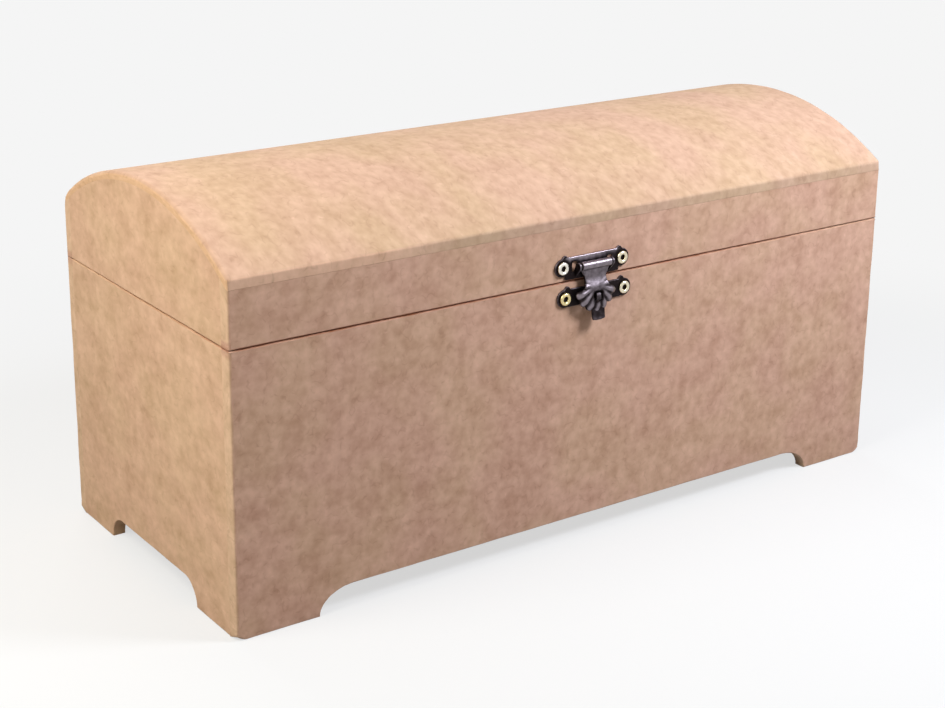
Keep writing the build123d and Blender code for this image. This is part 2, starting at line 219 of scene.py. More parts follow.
def turnedPart(profile, origin, axis, mark, sides=48, start=0, sign=1):
    # a profile of radius and height carried round an axis, 0 for X and 1 for Y; four sides make it square
    angle = start + np.linspace(0, 2 * pi, sides + 1)[:, None]
    radius, height = profile.T
    lift = np.broadcast_to(height, (sides + 1, len(height)))
    grid = [radius * np.cos(angle), radius * np.sin(angle)]
    grid.insert(axis, lift * sign)
    uv = np.stack([angle * np.maximum(radius, 0.3), lift], -1)
    return gridPart(np.stack(grid, -1) + np.array(origin), uv, mark)


def ribbonPart(path, widths, thickness, centreX, edgeRound, mark):
    # A strip bent along a path in the YZ plane: at each point of the path a rounded bar section stands square
    # to it, as wide as the strip is there. The ends are closed by drawing the last sections together.
    ahead = np.gradient(path, axis=0)
    ahead /= np.linalg.norm(ahead, axis=1)[:, None]
    normal = asPoints(-ahead[:, 1], ahead[:, 0])
    corner = np.linspace(0, pi / 2, 4)
    angles = np.concatenate([corner + k * pi / 2 for k in range(4)])
    signX = np.repeat([1, -1, -1, 1], 4)
    signN = np.repeat([1, 1, -1, -1], 4)
    half = thickness / 2
    inX = edgeRound * (np.cos(angles) - signX)
    inN = edgeRound * (np.sin(angles) - signN)
    scale = np.concatenate([[0, 0.9], np.ones(len(path)), [0.9, 0]])
    station = np.concatenate([[0, 0], np.arange(len(path)), [-1, -1]]).astype(int)
    reach = np.concatenate([[-0.25, -0.25], np.zeros(len(path)), [0.25, 0.25]]) * edgeRound
    across = (widths[station][:, None] / 2 * signX + inX) * scale[:, None]
    outwards = (half * signN + inN) * scale[:, None]
    centre = path[station] + ahead[station] * reach[:, None]
    y = centre[:, :1] + normal[station][:, :1] * outwards
    z = centre[:, 1:] + normal[station][:, 1:] * outwards
    grid = np.stack([centreX + across, y, z], -1)
    grid = np.concatenate([grid, grid[:, :1]], 1)
    around = np.linspace(0, 1, grid.shape[1]) * 2 * (widths.max() + thickness)
    uv = np.stack(np.broadcast_arrays(alongPath(centre)[:, None], around), -1)
    return gridPart(grid, uv, mark)


def makePiece(name, nodes, material, parts, warp=None, markFunction=None):
    # joins the parts into one mesh, closes the seams between them and turns all faces outwards
    starts = np.cumsum([0] + [len(part["points"]) for part in parts])
    points = np.concatenate([part["points"] for part in parts])
    if warp:
        points = warp(points)
    faces = [face for part, start in zip(parts, starts) for face in (part["faces"] + start).tolist()]
    mesh = bpy.data.meshes.new(name)
    mesh.from_pydata((points * mm).tolist(), [], faces)
    corners = np.empty(len(mesh.loops), int)
    mesh.loops.foreach_get("vertex_index", corners)
    uv = np.concatenate([part["uv"] for part in parts])[corners] * mm
    mesh.uv_layers.new(name="surface").data.foreach_set("uv", uv.ravel())
    mark = np.concatenate([part["mark"] for part in parts])
    # the mark function paints the seam's shade, the sheet's pale band of light and the hasp plate's highlight and
    # shade
    if markFunction:
        mark = markFunction(points, mark)
    mesh.attributes.new("mark", "FLOAT", "POINT").data.foreach_set("value", mark)
    shape = bmesh.new()
    shape.from_mesh(mesh)
    bmesh.ops.remove_doubles(shape, verts=shape.verts, dist=1e-3 * mm)
    bmesh.ops.dissolve_degenerate(shape, edges=shape.edges, dist=1e-5 * mm)
    bmesh.ops.recalc_face_normals(shape, faces=shape.faces)
    openEdges = sum(len(edge.link_faces) != 2 for edge in shape.edges)
    shape.to_mesh(mesh)
    shape.free()
    mesh.shade_smooth()
    mesh.materials.append(material)
    piece = bpy.data.objects.new(name, mesh)
    bpy.context.scene.collection.objects.link(piece)
    piece.modifiers.new("faceNormals", "WEIGHTED_NORMAL").keep_sharp = True
    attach(piece, bodyOf[nodes[0]])
    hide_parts(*nodes)
    print("made", name, len(mesh.polygons), "faces, open edges:", openEdges)


# Materials

def linear(hexColour):
    # sRGB hex to linear light
    srgb = np.array([int(hexColour[i:i + 2], 16) for i in (1, 3, 5)]) / 255
    light = np.where(srgb <= 0.04045, srgb / 12.92, ((srgb + 0.055) / 1.055)**2.4)
    return (*light.tolist(), 1.0)


def addNode(tree, kind, inputs=None, **settings):
    # one node with its settings; each input is a value, a colour's hex, or the node or output that feeds it
    node = tree.nodes.new("ShaderNode" + kind)
    for name, value in settings.items():
        setattr(node, name, value)
    for socket, value in (inputs or {}).items():
        if isinstance(value, str):
            value = linear(value)
        if isinstance(value, bpy.types.Node):
            value = next(output for output in value.outputs if output.enabled)
        if isinstance(value, bpy.types.NodeSocket):
            tree.links.new(value, node.inputs[socket])
        else:
            node.inputs[socket].default_value = value
    return node


def mathNode(tree, operation, *values):
    return addNode(tree, "Math", dict(enumerate(values)), operation=operation)


def vectorNode(tree, operation, *values):
    return addNode(tree, "VectorMath", dict(enumerate(values)), operation=operation)


def remap(tree, value, start, end, low=0.0, high=1.0, kind="LINEAR"):
    # low at start and high at end, held beyond them
    return addNode(tree, "MapRange", {"Value": value, "From Min": start, "From Max": end, "To Min": low,
                                      "To Max": high}, interpolation_type=kind)


def noise(tree, place, size, detail, dimensions="2D", rough=0.5):
    # patches of about this size in millimetres
    return addNode(tree, "TexNoise", {"Vector": place, "Scale": 1 / (size * mm), "Detail": detail,
                                      "Roughness": rough}, noise_dimensions=dimensions)


def blend(tree, share, first, second):
    # the first colour at 0, the second at 1
    return addNode(tree, "Mix", {"Factor": share, 6: first, 7: second}, data_type="RGBA")


def newMaterial(name):
    material = bpy.data.materials.new(name)
    material.use_nodes = True
    material.node_tree.nodes.clear()
    return material, material.node_tree


def markOf(tree):
    # the mark that the pieces carry
    return addNode(tree, "Attribute", attribute_name="mark").outputs["Fac"]


def finishMaterial(tree, height, strength, depth, inputs):
    bump = addNode(tree, "Bump", {"Height": height, "Strength": strength, "Distance": depth * mm})
    shader = addNode(tree, "BsdfPrincipled", {"Normal": bump, **inputs})
    addNode(tree, "OutputMaterial", {"Surface": shader})


# Raw medium-density fibreboard: wood fibres and resin pressed flat, then sanded. The eye sees a matt, felted
# tan face, softly mottled, with dark wisps and short dark or pale fibres lying every way, and a browner,
# layered sawn edge. Single fibres are too fine to show, so the flecks are as large as bundles of them.
fibreboard = {
    "shades": (  # size of the pattern, detail, roughness, how far it lightens and darkens
        {"size": 1.0, "detail": 1.0, "rough": 0.5, "share": 0.03},
        {"size": 3.0, "detail": 1.5, "rough": 0.5, "share": 0.15},
        {"size": 7.5, "detail": 1.0, "rough": 0.5, "share": 0.13},
        {"size": 26.0, "detail": 1.0, "rough": 0.5, "share": 0.06},
    ),
    "coarseFrom": 5,  # patterns from this size up take the coarse strength of boardColours
    "hueSize": 34.0, "layerSize": 0.45, "layerShare": 0.05,
    "wispSize": 5.5, "wispWidth": 0.045, "wispPatch": 3.6, "wispStrength": 0.34,
    "ior": 1.5, "roughness": 0.88, "specular": 0.2,
    "bumpDepth": 0.10, "bumpStrength": 0.18,
    "bend": 0.5, "bendSize": 2.6,  # how far the fibres waver, and over what length
    "fibres": (  # cell, half length, half width, share of cells that hold one, strength, steps from the face
        {"cell": 7.2, "long": 1.5, "wide": 0.45, "from": 0.50, "strength": 0.40, "step": -45},
        {"cell": 3.1, "long": 0.80, "wide": 0.40, "from": 0.50, "strength": 0.20, "step": -45},
        {"cell": 9.0, "long": 1.3, "wide": 0.40, "from": 0.62, "strength": 0.50, "step": 28},
        {"cell": 3.7, "long": 0.70, "wide": 0.42, "from": 0.50, "strength": 0.24, "step": 28},
    ),
}
# seamShadeAndEdgeLight is the colour where the mark is below 0. On the front, back and end boards it is the saw's
# brown with painted shade of the closed seam's groove. On the bent sheet it is a pale band of painted light along
# its cut edge.
boardColours = {  # soiled: where the mark is below 0; stretch: how much longer the pattern is along u
    "front": {"face": "#CBA18A", "warm": "#CAA388", "edge": "#D8B596", "seamShadeAndEdgeLight": "#A8735A", "stretch": 1.0,
              "fine": 0.72, "coarse": 0.98},
    "end": {"face": "#D6AF92", "warm": "#D4B090", "edge": "#D8B290", "seamShadeAndEdgeLight": "#B98C6E", "stretch": 1.3,
            "fine": 0.55, "coarse": 0.88},
    "sheet": {"face": "#C5A18A", "warm": "#C1A184", "edge": "#D8B08C", "seamShadeAndEdgeLight": "#D9B094", "stretch": 1.4,
              "fine": 0.68, "coarse": 0.55},
}


def stepped(hexColour, step):
    # the same hue, lighter or darker by a number of sRGB steps
    return "#" + "".join(f"{min(max(int(hexColour[i:i + 2], 16) + step, 0), 255):02X}" for i in (1, 3, 5))


def fibreMask(tree, vector, layer, shift, share):
    # Scattered fibres: each cell of a Voronoi pattern holds one ellipse about its centre, turned by a chance
    # angle; the mask is 1 inside it, fading to 0 at its rim, and 0 in cells left empty.
    cell, long, wide = layer["cell"], layer["long"], layer["wide"]
    placed = vectorNode(tree, "MULTIPLY_ADD", vector, (1 / (cell * mm),) * 3, (shift, shift * 0.7, 0))
    cells = addNode(tree, "TexVoronoi", {"Vector": placed, "Scale": 1.0}, voronoi_dimensions="2D").outputs
    chance = addNode(tree, "SeparateColor", {"Color": cells["Color"]})
    angle = mathNode(tree, "MULTIPLY", chance, 2 * pi)
    away = vectorNode(tree, "SUBTRACT", placed, cells["Position"])
    turned = addNode(tree, "VectorRotate", {"Vector": away, "Angle": angle}, rotation_type="Z_AXIS")
    sized = vectorNode(tree, "MULTIPLY", turned, (cell / long, cell / wide, 0))
    inside = remap(tree, vectorNode(tree, "LENGTH", sized), 1.0, 0.1, kind="SMOOTHSTEP")
    held = remap(tree, chance.outputs["Green"], layer["from"], layer["from"] + 0.35,
                 high=layer["strength"] * share)
    return mathNode(tree, "MULTIPLY", inside, held)


def wispMask(tree, vector, share):
    # Dark wisps: the lines along which one noise passes its middle value, kept where a second one is high
    look = fibreboard
    course = noise(tree, vector, look["wispSize"], 1.5)
    away = mathNode(tree, "ABSOLUTE", mathNode(tree, "SUBTRACT", course, 0.5))
    line = remap(tree, away, look["wispWidth"], 0.0, kind="SMOOTHSTEP")
    patches = noise(tree, vector, look["wispPatch"], 1.0)
    kept = remap(tree, patches, 0.47, 0.62, high=look["wispStrength"] * share)
    return mathNode(tree, "MULTIPLY", line, kept)


def sandedFibreboard(name, colours, shift):
    material, tree = newMaterial(name)
    mark = markOf(tree)
    look = fibreboard
    uv = addNode(tree, "UVMap", uv_map="surface")
    moved = vectorNode(tree, "MULTIPLY_ADD", uv, (1 / colours["stretch"], 1, 1),
                       (shift * 11 * mm, shift * 7 * mm, 0))
    drift = noise(tree, moved, look["bendSize"], 1.0)
    centred = vectorNode(tree, "SUBTRACT", drift.outputs["Color"], (0.5,) * 3)
    bent = vectorNode(tree, "MULTIPLY_ADD", centred, (look["bend"] * 2 * mm,) * 3, moved)
    hue = remap(tree, noise(tree, moved, look["hueSize"], 2.0), 0.36, 0.64)
    base = blend(tree, hue, colours["face"], colours["warm"])
    # the sawn edge: fine layers that run along the outline
    layers = noise(tree, vectorNode(tree, "MULTIPLY", moved, (0.12, 1, 1)), look["layerSize"], 3.0)
    edgeShade = remap(tree, layers, 0.0, 1.0, 1 - look["layerShare"], 1 + look["layerShare"])
    edge = addNode(tree, "VectorMath", {0: linear(colours["edge"])[:3], 3: edgeShade}, operation="SCALE")
    base = blend(tree, remap(tree, mark, 0.25, 0.95, kind="SMOOTHSTEP"), base, edge)
    # below 0 the mark paints the seam's shade with the saw's brown, and on the sheet a pale band of painted light
    base = blend(tree, remap(tree, mark, 0.0, -1.0), base, colours["seamShadeAndEdgeLight"])
    dark = stepped(colours["face"], look["fibres"][0]["step"])
    base = blend(tree, wispMask(tree, bent, colours["fine"]), base, dark)
    shade, height = None, None
    for layer in look["shades"]:
        share = layer["share"] * colours["fine" if layer["size"] < look["coarseFrom"] else "coarse"]
        pattern = noise(tree, moved, layer["size"], layer["detail"], rough=layer["rough"])
        level = remap(tree, pattern, 0.2, 0.8, -share, share)
        if shade is None:
            shade, height = level, pattern
        else:
            shade = mathNode(tree, "ADD", shade, level)
    for number, layer in enumerate(look["fibres"]):
        mask = fibreMask(tree, bent, layer, shift + 3.1 * number, colours["fine"])
        base = blend(tree, mask, base, stepped(colours["face"], layer["step"]))
        height = mathNode(tree, "MULTIPLY_ADD", mask, 0.6, height)
    # light and dark differ by the same sRGB step in each channel, as in grey smudges on one colour: the slope
    # of the sRGB curve goes with the channel's light to the power 0.583
    plain = np.array(linear(colours["face"])[:3])
    tone = plain**0.583 * plain[1]**0.417
    finishMaterial(tree, height, look["bumpStrength"], look["bumpDepth"], {
        "Base Color": vectorNode(tree, "MULTIPLY_ADD", shade, tuple(tone.tolist()), base),
        "Roughness": look["roughness"], "IOR": look["ior"], "Specular IOR Level": look["specular"]})
    return material


# Antique bronze: steel stamped thin, plated and blackened, then rubbed. The eye sees a dark violet-grey
# metal, nearly black in its hollows and bright along edges and ridges.
bronzeLook = {"dark": "#241D1E", "rubbedAndLit": "#8F858C", "blotchSize": 1.6, "blotchShare": 0.32,
              "scratchSize": 0.22, "roughDark": 0.52, "roughBright": 0.30, "bumpStrength": 0.25}
finestBump = 0.03  # depth of scratches and pits in the metals


def blackenedBronze(name, look):
    material, tree = newMaterial(name)
    mark = markOf(tree)
    place = addNode(tree, "TexCoord").outputs["Object"]
    blotch = noise(tree, place, look["blotchSize"], 4.0, "3D")
    spread = remap(tree, blotch, 0.0, 1.0, -look["blotchShare"], look["blotchShare"])
    # the mark runs from blackened to rubbed metal; on the upper bar's crest the rubbed colour is also a painted
    # highlight
    rubbedAndLit = remap(tree, mathNode(tree, "ADD", mark, spread), 0.05, 0.95, kind="SMOOTHSTEP")
    scratches = noise(tree, place, look["scratchSize"], 2.0, "3D")
    finishMaterial(tree, scratches, look["bumpStrength"], finestBump, {
        "Base Color": blend(tree, rubbedAndLit, look["dark"], look["rubbedAndLit"]), "Metallic": 1.0,
        "Roughness": remap(tree, rubbedAndLit, 0.0, 1.0, look["roughDark"], look["roughBright"])})
    return material


# Brass-plated steel, turned or drawn and left bright. The eye sees a pale yellow metal with small dull spots.
brassLook = {"eyelet": ("#D6C48C", "#E6E2D8", 0.24), "nail": ("#A98A55", "#BFA676", 0.38), "spotSize": 0.8,
             "tarnishAndShade": "#2A2118", "bumpStrength": 0.15}


def platedBrass(name, yellow, pale, roughness):
    # paler where the mark nears 1; below 0 it darkens, tarnish with painted shade
    material, tree = newMaterial(name)
    mark = markOf(tree)
    place = addNode(tree, "TexCoord").outputs["Object"]
    spots = noise(tree, place, brassLook["spotSize"], 3.0, "3D")
    plated = blend(tree, mark, yellow, pale)
    tarnishedAndShaded = remap(tree, mark, 0.0, -1.0)
    finishMaterial(tree, spots, brassLook["bumpStrength"], finestBump, {
        "Base Color": blend(tree, tarnishedAndShaded, plated, brassLook["tarnishAndShade"]), "Metallic": 1.0,
        "Roughness": remap(tree, spots, 0.0, 1.0, roughness - 0.08, roughness + 0.14)})
    return material


frontBoardStuff = sandedFibreboard("sanded fibreboard, front and back", boardColours["front"], 1.0)
endBoardStuff = sandedFibreboard("sanded fibreboard, ends", boardColours["end"], 5.0)
sheetStuff = sandedFibreboard("thin fibreboard bent over the lid", boardColours["sheet"], 9.0)
bronzeStuff = blackenedBronze("blackened bronze plate, rubbed", bronzeLook)
eyeletStuff = platedBrass("brass-plated eyelet", *brassLook["eyelet"])
nailStuff = platedBrass("brass-plated nail", *brassLook["nail"])
wireStuff = platedBrass("drawn steel wire", "#6E6A68", "#8A8684", 0.35)
print("materials made:", len(bpy.data.materials))

# Boards of the base and lid

boards = {
    "footHeight": 9.2, "frontFoot": 32.5, "endFoot": 25.0, "frontCove": 14.0, "endCove": 9.0,
    "cornerSpan": 4.0, "cornerLift": 2.4,  # the box's lowest corners, sanded off
    "uprightRound": 0.9, "seamRound": 0.45, "footRound": 0.45, "innerRound": 0.06, "buttRound": 0.03,
    "holeRound": 0.08, "sheetRound": 1.5, "sheetBackRound": 2.2, "roundWaver": 0.22, "waverPitch": 23.0,
    "shoulderSpan": 6.0, "shoulderLift": 0.9, "step": 3.0,
    "seamCloses": 0.44, "seamFarCloses": 0.49,  # how much narrower the seam is, near and at its far ends
    "seamLidShare": 0.6, "seamWaver": 0.05, "seamPitch": 90,  # the lid's share of that, and the saw's waver
    # where along the front the sheet's pale band, the cut's colour with painted light, has faded out
    "paleBandEndsAt": -55.0,  # how far along the front the sheet's cut edge shows
}
frontLow, frontHigh = nodeBox("base_front_panel")
backHigh = nodeBox("base_back_panel")[1]
floorLow, floorHigh = nodeBox("base_floor_panel")
sheetLow, sheetHigh = nodeBox("lid_top_sheet")
halfLength = frontHigh[0]
halfDepth = backHigh[1]
wall = frontHigh[1] - frontLow[1]
innerHalf = halfDepth - wall
baseTop = frontHigh[2]
lidBottom = nodeBox("lid_front_panel")[0][2]

# the arch: the sheet's inner arc runs from its lower edges up to its crown, less its thickness
crown = sheetHigh[2]
sheetThickness = crown - nodeBox("lid_left_end")[1][2]
sheetEdgeLow = sheetLow[2]


def circleThrough(halfWidth, rise):
    # radius of the circle over a chord: (half chord squared + rise squared) / twice the rise
    return (halfWidth**2 + rise**2) / (2 * rise)


sheetInnerRadius = circleThrough(halfDepth, crown - sheetThickness - sheetEdgeLow)
archCentre = crown - sheetThickness - sheetInnerRadius
sheetOuterRadius = sheetInnerRadius + sheetThickness
shoulder = archCentre + np.sqrt(sheetOuterRadius**2 - halfDepth**2)


def archHeight(y, radius):
    # height of a circle about the arch's centre, over the line y
    return archCentre + np.sqrt(radius**2 - y**2)


def arc(centre, radii, angles):
    return asPoints(centre[0] + radii[0] * np.cos(angles), centre[1] + radii[1] * np.sin(angles))


def footedOutline(halfWidth, foot, cove):
    # a wall with a foot at each end; beside each foot the lower edge rises along a quarter of an ellipse
    flat = halfWidth - foot - cove
    height = boards["footHeight"]
    near = np.linspace(0, boards["cornerSpan"], 9)  # finer where the corner is sanded off
    corner = np.concatenate([asPoints(0 * near, near)[:0:-2], asPoints(near, 0 * near)]) - (halfWidth, 0)
    risingCove = arc((-flat, 0), (cove, height), np.linspace(pi, pi / 2, 14))
    half = np.concatenate([corner, risingCove])
    other = half[::-1] * (-1, 1)
    top = np.array([(halfWidth, baseTop), (-halfWidth, baseTop)])
    return refine(np.concatenate([half, other, top]), boards["step"])


def footWarp(points):
    # the box's four lowest corners are sanded off: they rise as the square of the nearness to the corner
    x, y, z = points.T
    nearX = np.clip(1 - (halfLength - np.abs(x)) / boards["cornerSpan"], 0, 1)
    nearY = np.clip(1 - (halfDepth - np.abs(y)) / boards["cornerSpan"], 0, 1)
    return asPoints(x, y, z + boards["cornerLift"] * nearX**2 * nearY**2 * smoothStep(z, 5, 0))


def circleLoop(centre, radius, sides=28):
    # round hole: its outline runs the other way, so that its normals point into the hole
    return arc(centre, (radius, radius), -np.linspace(0, 2 * pi, sides, endpoint=False))


def pairCentres(node, headRadius):
    # the two fasteners of a node, from its box: their heads touch its sides
    low, high = nodeBox(node)
    z = (low[2] + high[2]) / 2
    return [(low[0] + headRadius, z), (high[0] - headRadius, z)]


eyelet = {"head": 2.45, "hole": 0.95, "shank": 1.35, "bore": 1.45, "tail": 2.1, "tailHeight": 0.6,
          "plate": 0.8, "rise": 1.0}
nail = {"head": 1.5, "shank": 0.9, "bore": 0.686, "depth": 3.95, "point": 0.5, "plate": 0.8, "rise": 0.7}
upperEyelets = pairCentres("hasp_upper_rivets", eyelet["head"])
catchEyelets = pairCentres("catch_rivets", eyelet["head"])
hingeSides = ("left", "right")
baseNails = {side: pairCentres(f"hinge_{side}_base_nails", nail["head"]) for side in hingeSides}
lidNails = {side: pairCentres(f"hinge_{side}_lid_nails", nail["head"]) for side in hingeSides}


def seenFrom(axis, face, sign=1):
    # puts a point a, b of an outline at depth d behind a face that stands square to an axis
    def place(a, b, d):
        grid = [a, b]
        grid.insert(axis, face + sign * d)
        return asPoints(*grid)
    return place


frontPlace, backPlace = seenFrom(1, frontLow[1]), seenFrom(1, backHigh[1], -1)
leftPlace, rightPlace = seenFrom(0, -halfLength), seenFrom(0, halfLength, -1)


def seamWarp(points):
    # the saw cut wavers a little, and closes towards the right end and the back of the box
    x, y, z = footWarp(points).T
    farther = np.maximum(smoothStep(x, 60, halfLength), smoothStep(y, -20, halfDepth))
    closes = boards["seamCloses"] + (boards["seamFarCloses"] - boards["seamCloses"]) * farther
    waver = boards["seamWaver"] * wander(x + y, 31, boards["seamPitch"])
    nearLid = smoothStep(z, lidBottom + 1.5, lidBottom) * (z > (baseTop + lidBottom) / 2)
    nearBase = smoothStep(z, baseTop - 1.5, baseTop) * (z < (baseTop + lidBottom) / 2)
    lidShare = boards["seamLidShare"]
    down, up = closes * lidShare + waver, closes * (1 - lidShare) - waver
    return asPoints(x, y, z - down * nearLid + up * nearBase)


def onSides(loop, halfWidth):
    return np.abs(loop[:, 0]) > halfWidth - 1e-3


wideOutline = footedOutline(halfLength, boards["frontFoot"], boards["frontCove"])
endOutline = footedOutline(innerHalf, boards["endFoot"], boards["endCove"])
frontHoles = [circleLoop(point, eyelet["bore"]) for point in catchEyelets]
upright, butt, inner, seam = (boards[key + "Round"] for key in ("upright", "butt", "inner", "seam"))


def sawnMark(loop):
    # a saw cut on every edge but the one at the seam
    return smoothStep(np.minimum(np.abs(loop[:, 1] - baseTop), np.abs(loop[:, 1] - lidBottom)), 0.2, 1.5)


def seamBrownAndShade(points, mark):
    # the edges at the seam are brown from the saw and darkened with painted shade of the closed seam's groove,
    # less so towards the right end and the back
    x, y, z = points.T
    middle, half = (baseTop + lidBottom) / 2, (lidBottom - baseTop) / 2
    near = smoothStep(np.abs(z - middle) - half, 0.18, 0)
    near *= (np.abs(x) < halfLength - 0.5) | (np.abs(y) < halfDepth - 0.5)
    brown = 1 - 0.8 * np.maximum(smoothStep(x, 40, halfLength), smoothStep(y, -halfDepth, halfDepth))
    return np.where(near > 0, -near * brown, mark)


def boardParts(loops, place, halfWidth, side, seed):
    def rounds(loop):
        # sanded edges: the sides of the outline, then its upper edge at the seam, then feet and coves
        if loop is not loops[0]:
            return np.full(len(loop), boards["holeRound"])
        along = np.linspace(0, 1, len(loop)) * 2 * (halfWidth * 2 + baseTop)
        waver = 1 + boards["roundWaver"] * wander(along, seed, boards["waverPitch"])
        onTop = loop[:, 1] > loop[:, 1].max() - 1e-3
        return waver * np.where(onSides(loop, halfWidth), side, np.where(onTop, seam, boards["footRound"]))

    def cornerShare(loop):
        # at the upper corners the edge at the seam keeps its own, different, round
        return np.where(onSides(loop, halfWidth) & (np.abs(loop[:, 1] - baseTop) < 1e-3), seam / side, 1)

    return plateParts(loops, wall, place, rounds, inner, rimMark=sawnMark, uvShift=(seed * 37.0, seed * 19.0),
                      upShare=cornerShare)


for seed, (name, node, stuff, loops, place, halfWidth, side) in enumerate((
        ("front", "front_panel", frontBoardStuff, [wideOutline, *frontHoles], frontPlace, halfLength,
         upright),
        ("back", "back_panel", frontBoardStuff, [wideOutline], backPlace, halfLength, upright),
        ("left", "left_end", endBoardStuff, [endOutline], leftPlace, innerHalf, butt),
        ("right", "right_end", endBoardStuff, [endOutline], rightPlace, innerHalf, butt)), 1):
    makePiece(f"base_{name}_board", [f"base_{node}"], stuff, boardParts(loops, place, halfWidth, side, seed),
              seamWarp, seamBrownAndShade)

floorHalf = (floorHigh - floorLow) / 2
floorOutline = refine(np.array([(-1, -1), (1, -1), (1, 1), (-1, 1)]) * floorHalf[:2], 10)
makePiece("base_floor_board", ["base_floor_panel"], sheetStuff,
          plateParts([floorOutline], floorHigh[2] - floorLow[2],
                     seenFrom(2, floorHigh[2], -1), inner, inner, uvShift=(250, 90)))

boardRadius = sheetInnerRadius - 0.005  # glued
stripTop = archHeight(halfDepth, boardRadius)
stripOutline = refine(np.array([(-halfLength, lidBottom), (halfLength, lidBottom),
                                (halfLength, stripTop), (-halfLength, stripTop)]), boards["step"])


def stripCorners(loop):
    # the seam's round and the butt joint's at the strip's four corners
    if loop is not stripOutline:
        return 1
    onTop, onBottom = loop[:, 1] > stripTop - 1e-3, loop[:, 1] < lidBottom + 1e-3
    share = np.where(onBottom, seam, butt) / upright
    return np.where(onSides(loop, halfLength) & (onTop | onBottom), share, 1)


def stripRounds(loop):
    if loop is not stripOutline:
        return np.full(len(loop), boards["holeRound"])
    return np.where(onSides(loop, halfLength), upright, np.where(loop[:, 1] < lidBottom + 1e-3, seam, butt))


def shoulderWarp(points):
    # the lid's back shoulder is sanded round: points move in and down as the square of their nearness to it
    x, y, z = points.T
    span = boards["shoulderSpan"]
    near = np.clip(1 - (halfDepth - y) / span, 0, 1) * np.clip(1 - (shoulder - z) / span, 0, 1)
    lift = boards["shoulderLift"] * near**2
    return asPoints(x, y - lift, z - 0.8 * lift)


def stripWarp(points):
    # the strip's upper edge follows the arch inwards
    points = seamWarp(points)
    rise = archHeight(points[:, 1], boardRadius) - stripTop
    points[:, 2] += rise * smoothStep(points[:, 2], lidBottom + 5, stripTop - 2)
    return shoulderWarp(points)


lidHoles = [circleLoop(point, eyelet["bore"]) for point in upperEyelets]
for name, place, holes, seed in (("front", frontPlace, lidHoles, 5), ("back", backPlace, [], 6)):
    makePiece(f"lid_{name}_board", [f"lid_{name}_panel"], frontBoardStuff,
              plateParts([stripOutline, *holes], wall, place, stripRounds, inner, rimMark=sawnMark,
                         uvShift=(seed * 41.0, seed * 13.0), upShare=stripCorners), stripWarp, seamBrownAndShade)


def archPoints(radius, angles):
    # points about the arch's centre, by their angle from the upright
    return asPoints(radius * np.sin(angles), archCentre + radius * np.cos(angles))


archAngle = np.arcsin(innerHalf / boardRadius)
archLine = np.linspace(archAngle, -archAngle, 48)
lidEndOutline = refine(np.concatenate([[(-innerHalf, lidBottom), (innerHalf, lidBottom)],
                                       archPoints(boardRadius, archLine)]), boards["step"])


def lidEndRounds(loop):
    return np.where(loop[:, 1] < lidBottom + 1e-3, seam, butt)


for name, place, seed in (("left", leftPlace, 7), ("right", rightPlace, 8)):
    makePiece(f"lid_{name}_board", [f"lid_{name}_end"], endBoardStuff,
              plateParts([lidEndOutline], wall, place, lidEndRounds, inner, rimMark=sawnMark,
                         uvShift=(seed * 29.0, seed * 17.0)),
              lambda points: shoulderWarp(seamWarp(points)), seamBrownAndShade)

# The bent sheet: a section between two arcs about the same centre, carried along the box
outerAngle = np.arcsin(halfDepth / sheetOuterRadius)
innerAngle = np.arcsin(halfDepth / sheetInnerRadius)
outerArc = np.linspace(-outerAngle, outerAngle, 73)[::-1]
innerArc = np.concatenate([[-innerAngle], np.linspace(-0.98, 0.98, 47) * innerAngle, [innerAngle]])
outerPoints, innerPoints = archPoints(sheetOuterRadius, outerArc), archPoints(sheetInnerRadius, innerArc)
# a point that keeps the narrow side's shading flat down to its lower corner
nearLow = np.array([(halfDepth, sheetEdgeLow + 0.1)])
sheetCorners = np.concatenate([outerPoints, nearLow * (-1, 1), innerPoints, nearLow])
cornerRadii = np.zeros(len(sheetCorners))
cornerRadii[[0, len(outerPoints) - 1]] = boards["sheetBackRound"], boards["sheetRound"]
sheetSection = roundedCorners(sheetCorners, cornerRadii)


def sheetRounds(loop):
    # the sanded rim along the arch, and the sharp edge against the end board
    radius = np.hypot(loop[:, 0], loop[:, 1] - archCentre)
    waver = 1 + 0.5 * boards["roundWaver"] * wander(alongPath(loop), 77, boards["waverPitch"])
    onEdge = smoothStep(np.abs(loop[:, 0]), halfDepth - 0.3, halfDepth - 0.05)
    under = butt + (upright - butt) * onEdge
    return waver * np.where(radius > sheetInnerRadius + sheetThickness / 2, boards["sheetRound"], under)


def sheetCornerShare(loop):
    # at its two lower corners the sheet's end is rounded as the strip under it is, and only sideways
    return np.where((np.abs(loop[:, 0]) > halfDepth - 0.01) & (loop[:, 1] < sheetEdgeLow + 0.05), 0, 1)


def sheetMark(loop):
    # sawn along the two long edges, pressed face elsewhere
    return smoothStep(np.abs(loop[:, 0]), halfDepth - 0.5, halfDepth - 0.1)


def sheetEdgesAndLightBand(points, mark):
    # the long edges were sanded with the faces; for a stretch at the left end of the front they carry a pale band,
    # the cut's paler colour with painted light as from a sanded edge lit from above
    x, y = points[:, 0], points[:, 1]
    inside = smoothStep(halfLength - np.abs(x), 0.3, 1.0)
    pale = smoothStep(x, boards["paleBandEndsAt"], boards["paleBandEndsAt"] - 40) * (y < 0)
    return mark * (1 - inside * (1 + pale))


makePiece("lid_bent_sheet", ["lid_top_sheet"], sheetStuff,
          plateParts([sheetSection], 2 * halfLength, leftPlace, sheetRounds, sheetRounds, rimMark=sheetMark,
                     capMark=1.0, uvShift=(400, 300), spans=40, upShare=sheetCornerShare),
          shoulderWarp, sheetEdgesAndLightBand)
print("boards made")

# Eyelets, nails and pins

